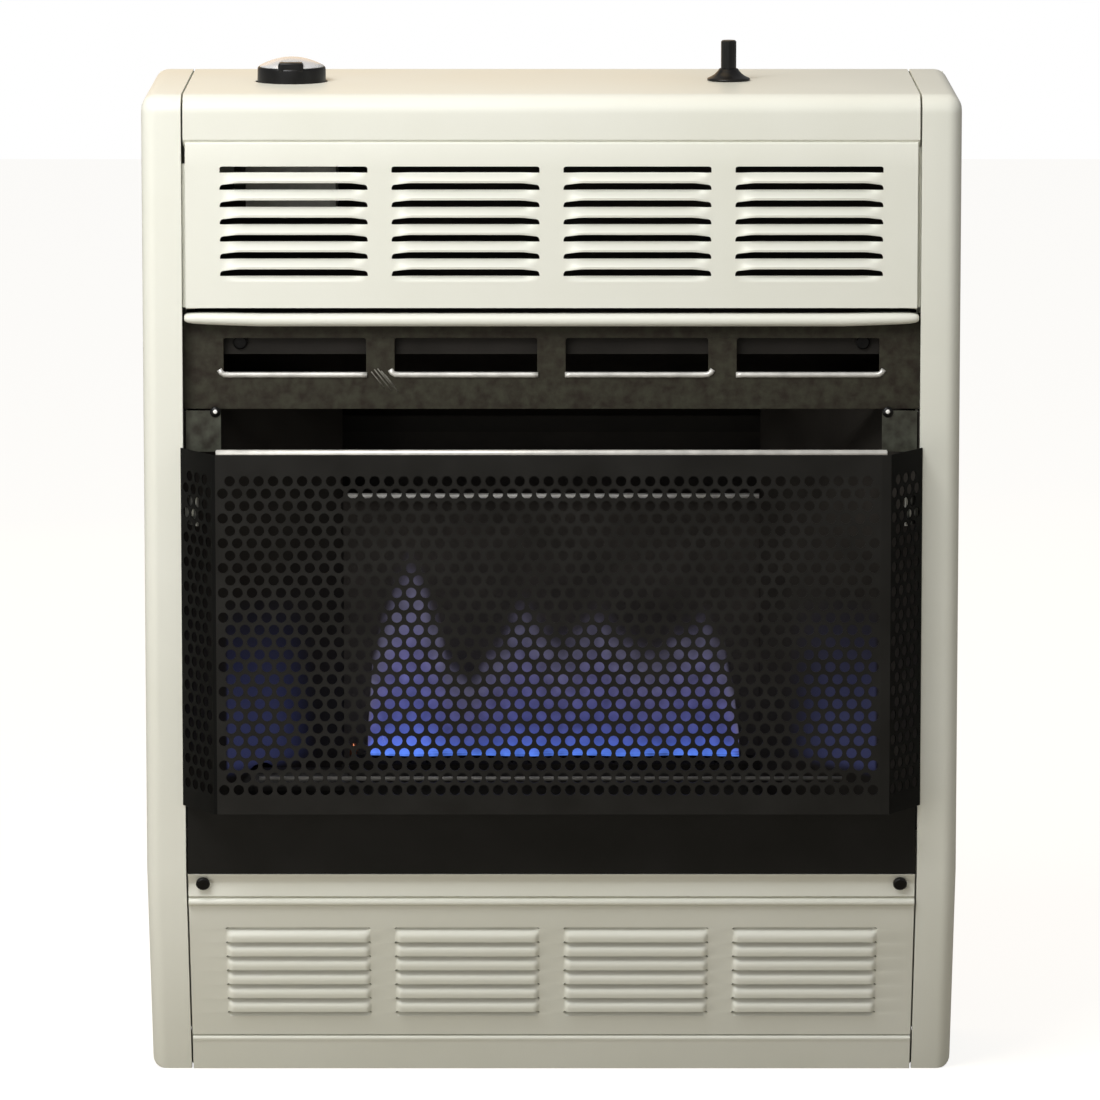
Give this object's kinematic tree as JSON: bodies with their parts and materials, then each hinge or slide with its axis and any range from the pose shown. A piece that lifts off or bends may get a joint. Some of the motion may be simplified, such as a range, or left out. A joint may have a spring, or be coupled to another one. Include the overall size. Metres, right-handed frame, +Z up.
{
  "type": "vent-free blue flame heater",
  "caption": "Upright vent-free gas room heater with louvred casing, perforated guard, open hood, burner and pilot, thermostat knob and push igniter on top.",
  "frame": {"origin": "on the floor, under the middle of the heater's whole width and depth", "axes": "+Z up, +X to the right seen from the front, +Y from the front towards the wall"},
  "size_m": [0.54, 0.225, 0.694],
  "materials": {
    "cream_enamel": "semi-gloss cream baked enamel with faint orange peel",
    "black_enamel": "semi-gloss black heat-proof enamel",
    "guard_enamel": "satin black enamel on perforated steel",
    "galvanised_steel": "spangled zinc",
    "burner_steel": "aluminised steel, heat tinted",
    "die_cast_alloy": "dull cast",
    "brass": "turned, slightly dulled",
    "aluminium_tube": "drawn tube",
    "copper": "drawn copper, dulled",
    "black_plastic": "moulded black thermoset, semi-gloss",
    "silver_disc": "satin silver plate",
    "ceramic": "glazed insulator",
    "lead_sleeve": "high tension lead sleeve",
    "black_screws": "black oxide"
  },
  "bodies": {
    "root": {"left_side_panel": "cream_enamel", "right_side_panel": "cream_enamel", "top_cover": "cream_enamel", "upper_louvre_panel": "cream_enamel", "header_rail": "cream_enamel", "sill_rail": "cream_enamel", "lower_louvre_panel": "cream_enamel", "kick_rail": "cream_enamel", "back_panel": "black_enamel", "base_pan": "galvanised_steel", "hood": "black_enamel", "heat_deflector": "black_enamel", "firebox_left_wall": "black_enamel", "firebox_right_wall": "black_enamel", "firebox_back_wall": "black_enamel", "firebox_floor": "black_enamel", "front_skirt": "black_enamel", "guard": "guard_enamel", "guard_clip_left": "galvanised_steel", "guard_clip_right": "galvanised_steel", "burner_tray": "burner_steel", "burner_port_plate": "burner_steel", "burner_bracket_left": "galvanised_steel", "burner_bracket_right": "galvanised_steel", "mixer_tube": "burner_steel", "gas_orifice": "brass", "orifice_bracket": "galvanised_steel", "orifice_holder": "brass", "pilot_bracket": "galvanised_steel", "pilot_hood": "burner_steel", "thermocouple_probe": "copper", "spark_electrode": "ceramic", "gas_valve_body": "die_cast_alloy", "valve_bracket": "galvanised_steel", "igniter_collar": "black_plastic", "igniter_barrel": "black_plastic", "pressure_regulator": "die_cast_alloy", "regulator_bracket": "galvanised_steel", "gas_inlet_fitting": "brass", "thermostat_bulb": "copper", "bulb_clip": "galvanised_steel", "supply_pipe": "aluminium_tube", "burner_pipe": "aluminium_tube", "pilot_pipe": "aluminium_tube", "thermocouple_lead": "copper", "capillary_tube": "copper", "ignition_lead": "lead_sleeve", "sill_screw_left": "black_screws", "sill_screw_right": "black_screws", "hood_screw_left": "black_screws", "hood_screw_right": "black_screws"},
    "stem": {"valve_stem": "die_cast_alloy"},
    "knob": {"control_knob": "black_plastic", "knob_disc": "silver_disc"},
    "igniter": {"igniter_plunger": "black_plastic"}
  },
  "joints": [
    {"name": "knob_push", "type": "slide", "parent": "root", "child": "stem", "axis": [0, 0, -1], "range_m": [0, 0.004], "stiffness_N_per_m": 1500, "springref_m": -0.003},
    {"name": "knob_turn", "type": "hinge", "parent": "stem", "child": "knob", "pos_m": [-0.1739, 0.0235, 0.67], "axis": [0, 0, 1], "range_deg": [0, 270]},
    {"name": "igniter_push", "type": "slide", "parent": "root", "child": "igniter", "axis": [0, 0, -1], "range_m": [0, 0.007], "stiffness_N_per_m": 1500, "springref_m": -0.003}
  ]
}
